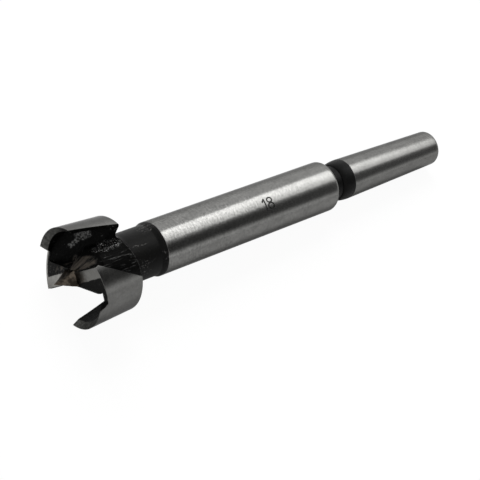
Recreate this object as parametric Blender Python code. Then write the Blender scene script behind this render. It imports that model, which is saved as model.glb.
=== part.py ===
"""Forstner bit: an 18 mm head, a ground body and a reduced shank, turned and milled from one bar.

The bit lies on its side as it comes to rest, one throat down, on three points:
two corners of the head and the end of the shank.
The shank points along +X and the floor is at Z = 0.

The bit is built in a frame of its own. There t runs along the axis from the plane of the rim
towards the shank, and a clock angle runs clockwise as seen from the point. A second half of the
head, half a turn round, repeats the first.
"""

import math

import bmesh
import bpy
from mathutils import Matrix, Vector

MM = 0.001

# Turned sizes, from the rim back to the end of the shank
HEAD_DIAMETER = 18.0 * MM
HEAD_TAPER = 0.5 * MM
HEAD_LENGTH = 9.1 * MM
HEAD_BACK_UNDERCUT = 0.15 * MM
HEAD_EDGE_ROUND = 0.25 * MM
NECK_DIAMETER = 9.36 * MM
NECK_FILLET = 1.6 * MM
NECK_FILLET_BEHIND_HEAD = 1.6 * MM
BODY_DIAMETER = 10.0 * MM
BODY_START = 17.0 * MM
BODY_SHOULDER_LENGTH = 0.8 * MM
BODY_LENGTH = 42.9 * MM
BODY_END_ROUND = 0.9 * MM
WAIST_DIAMETER = 6.9 * MM
WAIST_LENGTH = 2.3 * MM
WAIST_FILLET = 0.5 * MM
FLARE_LENGTH = 2.8 * MM
SHANK_FRONT_DIAMETER = 8.15 * MM
SHANK_BACK_DIAMETER = 7.2 * MM
SHANK_LENGTH = 26.1 * MM
SHANK_END_ROUND = 0.8 * MM

# Point
POINT_HEIGHT = 3.0 * MM
POINT_CORNER_RADIUS = 2.2 * MM
POINT_BASE_DEPTH = 0.5 * MM
POINT_ROOT_DEPTH = 4.0 * MM
POINT_TURN = 46.0

# Lips: each edge lies ahead of the middle and is ground back behind its edge
LIP_SETBACK = 0.35 * MM
LIP_AHEAD = 0.9 * MM
LIP_INNER_END = 1.7 * MM
LIP_DIRECTION = 81.0
LIP_RELIEF_SLOPE = 0.2
LIP_HONE_DEPTH = 1.0 * MM
LIP_HONE_TURN = 2.2
RAKE_TURN_PER_MM = 3.55

# Rims: from the leading spur, past the notch, to the trailing end at the throat
SPUR_ANGLE = 127.5
SPUR_LEAN_PER_MM = 3.0
RIM_WALL = 1.0 * MM
RIM_BEVEL_SLOPE = 1.0
RIM_FALL = 0.25 * MM
RIM_END_ANGLE = 21.0
RIM_END_TURN_PER_MM = 1.5
RIM_INNER_END_ANGLE = 16.3
RIM_INNER_TURN_PER_MM = 2.1

# Pockets inside the rims: each floor is a ramp from the heel down to the throat
HEEL_BACK_SLOPE = 0.16
POCKET_HEEL_ANGLE = -70.0
POCKET_END_ANGLE = 33.0
RAMP_DEPTH = 2.0 * MM
RAMP_START = 6.4 * MM
RAMP_SLOPE = 0.56

# Core between the throats: a cone, a cylinder just under the neck's surface, and a shallow ramp
# on which each throat runs out to the neck, later on its lip's side than on its rim's side
CORE_FRONT_RADIUS = 1.2 * MM
CORE_SLOPE = 0.7
THROAT_DEPTH_IN_NECK = 0.45 * MM
THROAT_SIDE_ON_NECK = (1.4 * MM, 3.3 * MM)
RUNOUT_BEHIND_HEAD = 1.75 * MM
RUNOUT_TILT = 0.25
RUNOUT_RAMP_LENGTH = 2.4 * MM
RUNOUT_STEP = 0.05 * MM

SEGMENTS = 96
ARC_STEPS = 5
RIM_STEPS = 20
POCKET_STEPS = 18
OUTSIDE = 14.0 * MM
CLEAR_OF_POINT = 1.0 * MM

HEAD_RADIUS = HEAD_DIAMETER / 2
NECK_RADIUS = NECK_DIAMETER / 2
POCKET_RADIUS = HEAD_RADIUS - RIM_WALL
CORE_RADIUS = NECK_RADIUS - THROAT_DEPTH_IN_NECK
RUNOUT_MIDDLE = HEAD_LENGTH + RUNOUT_BEHIND_HEAD
RUNOUT_LIMIT = RUNOUT_MIDDLE + 3 * NECK_RADIUS * RUNOUT_TILT
NECK_FILLET_END = HEAD_LENGTH + NECK_FILLET_BEHIND_HEAD
FRONT_LIMIT = -(POINT_HEIGHT + CLEAR_OF_POINT)
BODY_END = BODY_START + BODY_LENGTH
SHANK_START = BODY_END + WAIST_LENGTH + FLARE_LENGTH
SHANK_END = SHANK_START + SHANK_LENGTH

GROUND_STEEL = ("ground_steel", (0.56, 0.56, 0.55), 0.3, 1.0)


def polar(radius, clock):
    """Right and up coordinates of a clock angle in degrees."""
    angle = math.radians(clock)
    return Vector((radius * math.sin(angle), radius * math.cos(angle)))


def place(t, section_point):
    """A point of the bit's frame from its distance along the axis and its right and up."""
    return Vector((t, -section_point[0], section_point[1]))


def blend(first, second, share):
    return first + (second - first) * share


def clear_scene():
    for old in list(bpy.data.objects):
        bpy.data.objects.remove(old, do_unlink=True)


def make_material(name, colour, roughness, metallic):
    material = bpy.data.materials.new(name)
    material.use_nodes = True
    shader = material.node_tree.nodes["Principled BSDF"]
    shader.inputs["Base Color"].default_value = (*colour, 1.0)
    shader.inputs["Roughness"].default_value = roughness
    shader.inputs["Metallic"].default_value = metallic
    material.diffuse_color = (*colour, 1.0)
    return material


def add_object(name, mesh_edit, parent):
    """Turn an edited mesh into an object with its faces outwards."""
    bmesh.ops.recalc_face_normals(mesh_edit, faces=mesh_edit.faces[:])
    mesh = bpy.data.meshes.new(name)
    mesh_edit.to_mesh(mesh)
    mesh_edit.free()
    thing = bpy.data.objects.new(name, mesh)
    bpy.context.collection.objects.link(thing)
    thing.parent = parent
    return thing


def add_cutter(name, mesh_edit, parent):
    bmesh.ops.triangulate(mesh_edit, faces=mesh_edit.faces[:])
    cutter = add_object(name, mesh_edit, parent)
    cutter.hide_render = True
    cutter.display_type = "WIRE"
    return cutter


def combine(target, tool, operation):
    boolean = target.modifiers.new(tool.name, "BOOLEAN")
    boolean.object = tool
    boolean.operation = operation
    boolean.solver = "EXACT"


def arc_points(centre, radii, start, end):
    """Points of a quarter or so of an ellipse in the turned profile, angles in degrees from +t."""
    points = []
    for step in range(ARC_STEPS + 1):
        angle = math.radians(blend(start, end, step / ARC_STEPS))
        points.append((centre[0] + radii[0] * math.cos(angle), centre[1] + radii[1] * math.sin(angle)))
    return points


def turned_profile():
    """Half section of the whole bit: distance along the axis and radius, front to back."""
    back_radius = HEAD_RADIUS - HEAD_TAPER
    body_radius = BODY_DIAMETER / 2
    waist_radius = WAIST_DIAMETER / 2
    shank_radius = SHANK_FRONT_DIAMETER / 2
    end_radius = SHANK_BACK_DIAMETER / 2
    face_foot = HEAD_LENGTH - HEAD_BACK_UNDERCUT
    fillet_length = NECK_FILLET_END - face_foot

    profile = [(0.0, 0.0), (0.0, HEAD_RADIUS)]
    profile.append((HEAD_LENGTH - HEAD_EDGE_ROUND, back_radius))
    profile.append((HEAD_LENGTH, back_radius - HEAD_EDGE_ROUND))
    profile += arc_points((NECK_FILLET_END, NECK_RADIUS + NECK_FILLET), (fillet_length, NECK_FILLET), 180, 270)
    profile.append((BODY_START - BODY_SHOULDER_LENGTH, NECK_RADIUS))
    profile.append((BODY_START, body_radius))
    round_centre = (BODY_END - BODY_END_ROUND, body_radius - BODY_END_ROUND)
    profile += arc_points(round_centre, (BODY_END_ROUND, BODY_END_ROUND), 90, 0)
    fillet_centre = (BODY_END + WAIST_FILLET, waist_radius + WAIST_FILLET)
    profile += arc_points(fillet_centre, (WAIST_FILLET, WAIST_FILLET), 180, 270)
    profile.append((BODY_END + WAIST_LENGTH, waist_radius))
    flare_radii = (FLARE_LENGTH, shank_radius - waist_radius)
    profile += arc_points((SHANK_START, waist_radius), flare_radii, 150, 90)
    end_centre = (SHANK_END - SHANK_END_ROUND, end_radius - SHANK_END_ROUND)
    profile += arc_points(end_centre, (SHANK_END_ROUND, SHANK_END_ROUND), 90, 0)
    profile.append((SHANK_END, 0.0))
    return profile


def revolve(profile):
    """A closed solid turned about the axis from a half section that starts and ends on it."""
    mesh_edit = bmesh.new()
    verts = [mesh_edit.verts.new((t, 0.0, radius)) for t, radius in profile]
    edges = [mesh_edit.edges.new(pair) for pair in zip(verts, verts[1:])]
    bmesh.ops.spin(
        mesh_edit, geom=verts + edges, cent=(0, 0, 0), axis=(1, 0, 0),
        angle=2 * math.pi, steps=SEGMENTS, use_merge=True,
    )
    bmesh.ops.remove_doubles(mesh_edit, verts=mesh_edit.verts[:], dist=0.001 * MM)
    return mesh_edit


def turned_blank(parent, material):
    """The whole bit as the lathe leaves it, before the head is milled."""
    bit = add_object("forstner_bit", revolve(turned_profile()), parent)
    bit.data.materials.append(material)
    bit.data.shade_smooth()
    bit.data.set_sharp_from_angle(angle=math.radians(25))
    return bit


def loft(sections):
    """A closed solid through sections, each a list of points in the bit's frame."""
    mesh_edit = bmesh.new()
    rings = [[mesh_edit.verts.new(point) for point in section] for section in sections]
    for ring, following in zip(rings, rings[1:]):
        for index in range(len(ring)):
            after = (index + 1) % len(ring)
            mesh_edit.faces.new((ring[index], ring[after], following[after], following[index]))
    mesh_edit.faces.new(rings[0])
    mesh_edit.faces.new(rings[-1])
    return mesh_edit


def lip_ahead_of(point):
    """How far a section point lies ahead of the middle, square to the lip's edge."""
    return Vector(point).dot(polar(1.0, LIP_DIRECTION - 90.0))


def relief_depth(point):
    """The front of the lip falls back behind its cutting edge."""
    return LIP_SETBACK + LIP_RELIEF_SLOPE * (LIP_AHEAD - lip_ahead_of(point))


def relief_cutter(name, parent):
    """Takes the front off one lip and its heel, up to the leading spur of the rim."""
    web = [(0.0, -NECK_RADIUS * 0.8), (0.0, NECK_RADIUS * 0.8)]
    throat_side = [polar(HEAD_RADIUS, LIP_DIRECTION - 35), polar(OUTSIDE, LIP_DIRECTION - 30)]
    heel_side = [polar(OUTSIDE, LIP_DIRECTION + 10)]

    def outline(t_of):
        points = [Vector(point) for point in web + throat_side + heel_side]
        for radius in (OUTSIDE, POCKET_RADIUS * 0.8):
            depth = t_of(polar(radius, SPUR_ANGLE))
            points.append(polar(radius, SPUR_ANGLE - SPUR_LEAN_PER_MM * depth / MM))
        return [place(t_of(point), point) for point in points]

    return add_cutter(name, loft([outline(lambda _: FRONT_LIMIT), outline(relief_depth)]), parent)


def rim_bevel_cutter(name, parent):
    """Bevels the inside of one rim to a sharp crest that falls back from the spur."""
    inner = POCKET_RADIUS - RIM_WALL / 2
    outer = HEAD_RADIUS + RIM_WALL / 2

    def crest_depth(radius):
        return (HEAD_RADIUS - radius) * RIM_BEVEL_SLOPE

    start = SPUR_ANGLE - 4 * SPUR_LEAN_PER_MM
    end = 180.0 + RIM_END_ANGLE + RIM_WALL / HEAD_RADIUS * 60
    sections = []
    for step in range(RIM_STEPS + 1):
        clock = blend(start, end, step / RIM_STEPS)
        fall = RIM_FALL * (clock - SPUR_ANGLE) / (end - SPUR_ANGLE)
        corners = [
            (FRONT_LIMIT, inner), (crest_depth(inner) + fall, inner),
            (crest_depth(outer) + fall, outer), (FRONT_LIMIT, outer),
        ]
        sections.append([place(t, polar(radius, clock)) for t, radius in corners])
    return add_cutter(name, loft(sections), parent)


def rake_outer_angle(t):
    """Clock angle of the rake face at the head's surface."""
    edge_angle = LIP_DIRECTION - math.degrees(math.asin(LIP_AHEAD / HEAD_RADIUS))
    if t < LIP_HONE_DEPTH:
        return edge_angle + LIP_HONE_TURN * (LIP_HONE_DEPTH - max(t, 0.0)) / LIP_HONE_DEPTH
    return edge_angle + RAKE_TURN_PER_MM * (t - LIP_HONE_DEPTH) / MM


def lip_point(ahead, along):
    """A section point from its distances square to the lip's edge and along it."""
    return polar(ahead, LIP_DIRECTION - 90.0) + polar(along, LIP_DIRECTION)


def heel_back_point(across):
    """A point on the straight back of the heel, which starts at the inner end of the other lip."""
    start = lip_point(LIP_AHEAD, LIP_INNER_END)
    return Vector((across, start.y + HEEL_BACK_SLOPE * (start.x - across)))


def throat_section(t):
    """Outline of the open throat at one distance along the axis."""
    depth = max(t, 0.0) / MM
    rake_edge = polar(HEAD_RADIUS, rake_outer_angle(t))
    web_corner = lip_point(lip_ahead_of(rake_edge), LIP_INNER_END)
    rake_out = rake_edge + (rake_edge - web_corner).normalized() * (OUTSIDE - HEAD_RADIUS)

    share = min(max((t - LIP_HONE_DEPTH) / (HEAD_LENGTH - 2 * LIP_HONE_DEPTH), 0.0), 1.0)
    side_foot = blend(heel_back_point(0.0), Vector(THROAT_SIDE_ON_NECK), share)
    rim_inner = polar(POCKET_RADIUS, RIM_INNER_END_ANGLE + RIM_INNER_TURN_PER_MM * depth)
    rim_outer = polar(HEAD_RADIUS, RIM_END_ANGLE + RIM_END_TURN_PER_MM * depth)
    rim_out = rim_outer + (rim_outer - rim_inner).normalized() * (OUTSIDE - HEAD_RADIUS)
    far_out = polar(OUTSIDE * 1.4, LIP_DIRECTION - 30)
    outline = [rake_out, rake_edge, web_corner, side_foot, rim_inner, rim_outer, rim_out, far_out]
    return [place(t, point) for point in outline]


def throat_cutter(name, parent):
    """Mills one throat: a hooked rake face on one side and the end of the rim on the other."""
    steps = 8
    depths = [FRONT_LIMIT, 0.0]
    depths += [blend(LIP_HONE_DEPTH, RUNOUT_LIMIT, step / steps) for step in range(steps + 1)]
    mesh_edit = loft([throat_section(t) for t in depths])
    bmesh.ops.triangulate(mesh_edit, faces=mesh_edit.faces[:])
    bmesh.ops.recalc_face_normals(mesh_edit, faces=mesh_edit.faces[:])
    ahead = polar(RUNOUT_TILT, LIP_DIRECTION - 90.0)
    bmesh.ops.bisect_plane(
        mesh_edit, geom=mesh_edit.verts[:] + mesh_edit.edges[:] + mesh_edit.faces[:],
        plane_co=(RUNOUT_MIDDLE, 0.0, 0.0), plane_no=place(1.0, ahead), clear_outer=True,
    )
    bmesh.ops.holes_fill(mesh_edit, edges=[edge for edge in mesh_edit.edges if edge.is_boundary])
    return add_cutter(name, mesh_edit, parent)


def ramp_depth(point):
    """The pocket's floor falls from the heel towards the open throat."""
    return RAMP_DEPTH + RAMP_SLOPE * (point[0] + RAMP_START)


def pocket_cutter(name, parent):
    """Hollows out the inside of one rim."""
    outline = [heel_back_point(0.0), Vector(THROAT_SIDE_ON_NECK) * 0.75 + Vector((0.5 * MM, 0.0))]
    for step in range(POCKET_STEPS + 1):
        outline.append(polar(POCKET_RADIUS, blend(POCKET_END_ANGLE, POCKET_HEEL_ANGLE, step / POCKET_STEPS)))
    outline.append(heel_back_point(outline[-1].x + RIM_WALL / 2))
    front = [place(FRONT_LIMIT, point) for point in outline]
    floor = [place(ramp_depth(point), point) for point in outline]
    return add_cutter(name, loft([front, floor]), parent)


def core(parent):
    """The middle of the head, which the throats and pockets leave standing."""
    cone_end = POINT_BASE_DEPTH + (CORE_RADIUS - CORE_FRONT_RADIUS) / CORE_SLOPE
    ramp_end = RUNOUT_MIDDLE + RUNOUT_STEP
    root = RUNOUT_LIMIT + RIM_WALL
    profile = [
        (POINT_BASE_DEPTH, 0.0), (POINT_BASE_DEPTH, CORE_FRONT_RADIUS), (cone_end, CORE_RADIUS),
        (ramp_end - RUNOUT_RAMP_LENGTH, CORE_RADIUS), (ramp_end, NECK_RADIUS - RUNOUT_STEP),
        (root, NECK_RADIUS - RUNOUT_STEP), (root, 0.0),
    ]
    mesh_edit = revolve(profile)
    for vert in mesh_edit.verts:
        if abs(vert.co.x - ramp_end) < RUNOUT_STEP / 2:
            ahead = lip_ahead_of((-vert.co.y, vert.co.z))
            vert.co.x -= RUNOUT_TILT * math.copysign(1.0, -vert.co.y) * ahead
    return add_cutter("core_tool", mesh_edit, parent)


def centre_point(parent):
    """Four-sided point in the middle of the web, with a square root inside it."""
    levels = [
        (-POINT_HEIGHT, 0.02 * MM),
        (POINT_BASE_DEPTH, POINT_CORNER_RADIUS),
        (POINT_ROOT_DEPTH, POINT_CORNER_RADIUS * 0.8),
    ]
    sections = []
    for t, radius in levels:
        corners = [polar(radius, POINT_TURN + 90 * corner) for corner in range(4)]
        sections.append([place(t, corner) for corner in corners])
    return add_cutter("point_tool", loft(sections), parent)


def half_turned(cutter):
    """The same cutter for the other half of the head."""
    twin = cutter.copy()
    twin.name = cutter.name + "_twin"
    bpy.context.collection.objects.link(twin)
    twin.rotation_euler = (math.pi, 0.0, 0.0)
    return twin


def evaluated_points(thing):
    """Corners and triangles of an object with its modifiers, in its own frame."""
    seen = thing.evaluated_get(bpy.context.evaluated_depsgraph_get())
    mesh = seen.to_mesh()
    mesh.calc_loop_triangles()
    corners = [vertex.co.copy() for vertex in mesh.vertices]
    triangles = [tuple(triangle.vertices) for triangle in mesh.loop_triangles]
    seen.to_mesh_clear()
    return corners, triangles


def centre_of_mass(corners, triangles):
    volume = 0.0
    moment = Vector()
    for first, second, third in triangles:
        a, b, c = corners[first], corners[second], corners[third]
        piece = a.dot(b.cross(c)) / 6
        volume += piece
        moment += piece * (a + b + c) / 4
    return moment / volume


def stands_over(middle, triangle, normal):
    """Whether the centre of mass lies over a hull face."""
    for start, end in zip(triangle, triangle[1:] + triangle[:1]):
        if normal.dot((end - start).cross(middle - start)) < 0:
            return False
    return True


def resting_matrix(bit):
    """Turn the bit so that the hull face under its lower throat lies on the floor."""
    corners, triangles = evaluated_points(bit)
    middle = centre_of_mass(corners, triangles)
    hull = bmesh.new()
    for corner in corners:
        hull.verts.new(corner)
    bmesh.ops.convex_hull(hull, input=hull.verts[:])
    hull.normal_update()
    lower_throat = place(0.0, polar(1.0, (RIM_END_ANGLE + LIP_DIRECTION) / 2 + 180))
    best = None
    for face in hull.faces:
        triangle = [vertex.co.copy() for vertex in face.verts]
        outward = face.normal.copy()
        if outward.dot(triangle[0] - middle) < 0:
            outward.negate()
            triangle.reverse()
        if stands_over(middle, triangle, outward):
            if best is None or outward.dot(lower_throat) > best.dot(lower_throat):
                best = outward
    hull.free()

    forward = Vector((1, 0, 0))
    level = (forward - best * forward.dot(best)).normalized()
    up = -best
    turn = Matrix((level, up.cross(level), up)).to_4x4()
    placed = [turn @ corner for corner in corners]
    lows = [min(point[axis] for point in placed) for axis in range(3)]
    highs = [max(point[axis] for point in placed) for axis in range(3)]
    foot = Vector(((lows[0] + highs[0]) / 2, (lows[1] + highs[1]) / 2, lows[2]))
    return Matrix.Translation(-foot) @ turn


def main():
    clear_scene()
    steel = make_material(*GROUND_STEEL)
    axis = bpy.data.objects.new("bit_axis", None)
    bpy.context.collection.objects.link(axis)

    bit = turned_blank(axis, steel)
    relief = relief_cutter("relief_tool", axis)
    bevel = rim_bevel_cutter("bevel_tool", axis)
    throat = throat_cutter("throat_tool", axis)
    pocket = pocket_cutter("pocket_tool", axis)
    for cutter in (relief, bevel, throat, pocket):
        combine(bit, cutter, "DIFFERENCE")
        combine(bit, half_turned(cutter), "DIFFERENCE")
    combine(bit, core(axis), "UNION")
    combine(bit, centre_point(axis), "UNION")

    axis.matrix_world = resting_matrix(bit)


main()
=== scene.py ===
"""Forstner bit lying on its side on a white floor, under a soft studio lamp.

The script follows the layout of an add-on. It builds a milled head and a turned shaft with its
size number, both ground and partly blackened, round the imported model.

Places are worked out in the bit's own frame and then laid down. There t runs along the axis from
the plane of the rims towards the shank, and a clock angle runs clockwise as seen from the point.
"""

import math

import bmesh
import bpy
from bpy.props import FloatProperty, FloatVectorProperty, IntProperty, PointerProperty
from mathutils import Matrix, Vector, noise


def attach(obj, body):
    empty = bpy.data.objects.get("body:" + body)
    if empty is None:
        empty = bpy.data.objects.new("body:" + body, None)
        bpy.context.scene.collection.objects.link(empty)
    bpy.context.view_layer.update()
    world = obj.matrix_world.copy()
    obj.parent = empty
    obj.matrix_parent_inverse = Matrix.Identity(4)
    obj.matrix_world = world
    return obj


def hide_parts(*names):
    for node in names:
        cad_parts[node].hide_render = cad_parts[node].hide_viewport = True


bl_info = {
    "name": "Forstner Bit",
    "version": (1, 0, 0),
    "blender": (4, 5, 0),
    "location": "3D View > Sidebar > Forstner Bit",
    "description": "Builds a forstner bit and its studio",
    "category": "Add Mesh",
}

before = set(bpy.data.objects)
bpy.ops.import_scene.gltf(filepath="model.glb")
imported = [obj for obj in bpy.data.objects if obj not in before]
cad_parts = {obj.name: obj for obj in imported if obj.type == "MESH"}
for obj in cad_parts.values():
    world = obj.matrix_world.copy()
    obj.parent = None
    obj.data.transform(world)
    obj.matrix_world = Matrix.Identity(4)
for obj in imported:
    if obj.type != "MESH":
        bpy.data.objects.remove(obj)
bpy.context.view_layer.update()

MM = 0.001

# How the bit lies: its frame's origin, the fall of its axis and its turn about that axis
REST_ORIGIN = Vector((-0.0440613, 0.0, 0.0084259))
REST_FALL = math.radians(3.067456)
REST_TURN = math.radians(-54.875726)
REST = (
    Matrix.Translation(REST_ORIGIN) @ Matrix.Rotation(REST_FALL, 4, "Y") @ Matrix.Rotation(REST_TURN, 4, "X")
)

# Head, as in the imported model
HEAD_RADIUS = 9.0 * MM
HEAD_TAPER = 0.5 * MM
HEAD_LENGTH = 9.1 * MM
HEAD_BACK_UNDERCUT = 0.15 * MM
HEAD_EDGE_ROUND = 0.25 * MM
NECK_RADIUS = 4.68 * MM
NECK_FILLET = 1.6 * MM
NECK_FILLET_END = HEAD_LENGTH + 1.6 * MM
POINT_HEIGHT = 3.0 * MM
POINT_CORNER_RADIUS = 2.2 * MM
POINT_BASE_DEPTH = 0.5 * MM
POINT_ROOT_DEPTH = 4.0 * MM
POINT_TURN = 46.0
POINT_DENT = 0.24 * MM
POINT_DENT_PITCH = 1.1 * MM
LIP_SETBACK = 0.35 * MM
LIP_AHEAD = 0.9 * MM
LIP_INNER_END = 1.7 * MM
LIP_DIRECTION = 81.0
LIP_RELIEF_SLOPE = 0.2
LIP_HONE_DEPTH = 1.0 * MM
LIP_HONE_TURN = 2.2
LIP_LAND_WIDTH = 2.1 * MM
RAKE_TURN_PER_MM = 3.55
SPUR_ANGLE = 127.5
SPUR_LEAN_PER_MM = 3.0
RIM_WALL = 1.0 * MM
RIM_BEVEL_SLOPE = 1.0
RIM_FALL = 0.25 * MM
RIM_END_ANGLE = 21.0
RIM_END_TURN_PER_MM = 1.5
RIM_INNER_END_ANGLE = 16.3
RIM_INNER_TURN_PER_MM = 2.1
HEEL_BACK_SLOPE = 0.16
POCKET_HEEL_ANGLE = -70.0
POCKET_END_ANGLE = 33.0
RAMP_DEPTH = 2.0 * MM
RAMP_START = 6.4 * MM
RAMP_SLOPE = 0.56
CORE_FRONT_RADIUS = 1.2 * MM
CORE_SLOPE = 0.7
THROAT_DEPTH_IN_NECK = 0.45 * MM
THROAT_SIDE_ON_NECK = Vector((1.4 * MM, 3.3 * MM))
POCKET_CORNER = THROAT_SIDE_ON_NECK * 0.75 + Vector((0.5 * MM, 0.0))
RUNOUT_MIDDLE = HEAD_LENGTH + 1.75 * MM
RUNOUT_TILT = 0.25
RUNOUT_RAMP_LENGTH = 2.4 * MM
RUNOUT_STEP = 0.05 * MM
RUNOUT_LIMIT = RUNOUT_MIDDLE + 3 * NECK_RADIUS * RUNOUT_TILT
POCKET_RADIUS = HEAD_RADIUS - RIM_WALL
CORE_RADIUS = NECK_RADIUS - THROAT_DEPTH_IN_NECK
FRONT_LIMIT = -4.0 * MM
OUTSIDE = 14.0 * MM
HEAD_JOINT = 15.9 * MM

# Where the black finish gives way to ground steel along the shaft
NECK_FINISH_END = 17.39 * MM
WAIST_FINISH_START = 60.2 * MM
WAIST_FINISH_END = 65.08 * MM

# Rubbed and scraped places on the black finish, in mm along the axis, to the right and up,
# and painted highlights along a ridge of the throat wall and along the run-out edge.
# An oval has its middle and half sizes, and a streak its start, end and width. The last value
# of each is how much bright steel shows; for a painted highlight, how bright it is.
WIDE_FLAKES = ((5.2, -0.8, 6.2), (1.7, 1.9, 0.9), 0.28)
LONG_FLAKE = ((3.5, -3.7, 4.5), (4.9, -1.2, 6.0), 0.5, 0.28)
# Painted highlight: a thin bright line along a ridge of the upper throat wall
PAINTED_RIDGE_HIGHLIGHT = ((6.7, 2.0, 5.45), (8.9, 4.25, 6.25), 0.16, 0.09)
CORE_SPECKS = ((7.3, 2.2, 3.65), (3.4, 1.4, 1.0), 1.0)
CORE_SIDE = ((7.2, 4.0, 0.2), (4.6, 1.4, 2.4), 0.11)
SCRAPE_BESIDE_POINT = ((1.5, -3.4, 1.9), (4.3, -2.8, 2.6), 0.75, 0.27)
SCRAPES_BEHIND_POINT = ((2.2, 0.9, 2.1), (2.8, 3.4, 1.1), 0.27)
HEEL_SCRAPE_BY_POINT = ((0.9, -3.8, 1.3), (1.0, -2.7, 1.9), 0.45, 0.22)
HEEL_SCRAPE_BY_RIM = ((0.85, -5.7, 0.7), (1.05, -4.5, 1.95), 0.22, 0.14)
# Painted highlight: how bright the thin line along the run-out edge is
RUNOUT_PAINTED_HIGHLIGHT = 0.15
STRAY_SHINE = 0.24

# Down the slope behind the point, round it and away from it
SCRAPE_WAYS = ((0.82, 0.35, 0.45), (0.0, 0.79, -0.61), (-0.57, 0.50, 0.65))

# How a turned length bulges: not at all, outwards as a round, or inwards as a fillet
STRAIGHT, ROUND, FILLET = 0.0, 1.0, -1.0

# Turned shaft: its sizes that the panel does not show
BODY_SHOULDER = 0.8 * MM
WAIST_FILLET = 0.5 * MM
SHANK_FLARE = 2.8 * MM
SHANK_LEAD = 0.15 * MM
MERGE_DISTANCE = 0.001 * MM
WELD_DISTANCE = 0.0005 * MM

# Size number: places along the axis from its middle, and the rings of the 8 as shares of its height
ONE_STEM = -0.75 * MM
EIGHT_MIDDLE = 0.62 * MM
UPPER_RING = (0.29, 0.25)
LOWER_RING = (0.33, 0.285)
CUTTER_RISE = 0.2 * MM

# Camera in the bit's frame, as fitted to the photograph
CAMERA_PLACE = Vector((-97.10, -175.52, 35.98)) * MM
CAMERA_RIGHT = Vector((0.74904, -0.62322, -0.22482))
CAMERA_UP = Vector((0.28747, 0.0, 0.95779))
CAMERA_VIEW = Vector((0.59691, 0.78205, -0.17916))
CAMERA_LENS = 90.45
CAMERA_SENSOR = 36.0

# Light. A direction is a compass angle, 0 along +Y and 90 along +X, and a height, in degrees.
# The card and the wall have their middle, then the angles from it where each starts and is full.
LAMP_DIRECTION = (15, 50)
LAMP_DISTANCE = 0.5
LAMP_SIDE = 0.3
DARK_CARD = ((131.5, 30.5), (27, 10))
CARD_DARKNESS = 0.94
CARD_FADE = 0.13
CARD_FADE_PLACE = (0.60, 0.74)
BRIGHT_WALL = ((35, 15), (35, 15))
WALL_GLOW = 0.25
BOX_DIRECTION = (82, 48.5)
BOX_HALF_WIDTH = 0.36
BOX_HALF_HEIGHT = 0.24
BOX_EDGE = 0.03
BOX_WIDER = 0.2
BOX_WIDER_PLACE = (0.63, 0.71)
BOX_BRIGHTNESS = 4.8
BOX_FALL = 2.6
BOX_FALL_START = -0.22

# Floor: its white, and the share of it that the camera and metal see in place of its lit surface
FLOOR_WHITE = 1.03
FLOOR_SEEN = 0.92
FLOOR_MIRRORED = 0.15
FLOOR_GREY = 0.82


def polar(radius, clock):
    """Right and up coordinates of a clock angle in degrees."""
    angle = math.radians(clock)
    return Vector((radius * math.sin(angle), radius * math.cos(angle)))


def place(t, section_point):
    """A point of the bit's frame from its distance along the axis and its right and up."""
    return Vector((t, -section_point[0], section_point[1]))


def blend(first, second, share):
    return first + (second - first) * share


def joined_by(operation, reflected=False):
    """A method of Wire that joins two values by a Math node."""
    def method(wire, other):
        first, second = (other, wire) if reflected else (wire, other)
        return wire.board.node("ShaderNodeMath", {"operation": operation}, {0: first, 1: second})

    return method


def changed_by(operation):
    """A method of Wire that changes one value by a Math node."""
    return lambda wire: wire.board.node("ShaderNodeMath", {"operation": operation}, {0: wire})


class Wire:
    """A shader socket that can be written in sums, each of which adds its Math node."""

    def __init__(self, board, socket):
        self.board = board
        self.socket = socket

    __add__ = __radd__ = joined_by("ADD")
    __mul__ = __rmul__ = joined_by("MULTIPLY")
    __sub__ = joined_by("SUBTRACT")
    __rsub__ = joined_by("SUBTRACT", reflected=True)
    __truediv__ = joined_by("DIVIDE")
    least = joined_by("MINIMUM")
    most = joined_by("MAXIMUM")
    __abs__ = changed_by("ABSOLUTE")
    root = changed_by("SQRT")
    sign = changed_by("SIGN")
    sine = changed_by("SINE")
    cosine = changed_by("COSINE")

    def step(self, start, end):
        """0 at start and 1 at end, with a smooth ramp between them."""
        values = {"Value": self, "From Min": start, "From Max": end}
        return self.board.node("ShaderNodeMapRange", {"interpolation_type": "SMOOTHSTEP"}, values)


class Board:
    """A node tree with one method that adds any node."""

    def __init__(self, tree):
        self.tree = tree

    def node(self, kind, settings=None, values=None, output=0):
        added = self.tree.nodes.new(kind)
        for name, setting in (settings or {}).items():
            setattr(added, name, setting)
        for name, value in (values or {}).items():
            self.plug(added.inputs[name], value)
        return Wire(self, added.outputs[output])

    def plug(self, socket, value):
        """Link a wire to a socket, or set the socket to a plain value."""
        if isinstance(value, Wire):
            self.tree.links.new(value.socket, socket)
        else:
            socket.default_value = value

    def vector(self, operation, first, second, output=0):
        return self.node("ShaderNodeVectorMath", {"operation": operation}, {0: first, 1: second}, output)

    def dot(self, first, second):
        return self.vector("DOT_PRODUCT", first, second, "Value")

    def join(self, x, y, z):
        return self.node("ShaderNodeCombineXYZ", None, {0: x, 1: y, 2: z})

    def noise(self, vector, scale=1.0, detail=4.0, roughness=0.55):
        values = {"Vector": vector, "Scale": scale, "Detail": detail, "Roughness": roughness}
        return self.node("ShaderNodeTexNoise", {"noise_dimensions": "3D"}, values)

    def colours(self, factor, first, second, blend="MIX"):
        """Mix of two colours, each a link or a triple."""
        first, second = (given if isinstance(given, Wire) else (*given, 1.0) for given in (first, second))
        settings = {"data_type": "RGBA", "blend_type": blend}
        return self.node("ShaderNodeMix", settings, {0: factor, 6: first, 7: second}, 2)


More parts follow.
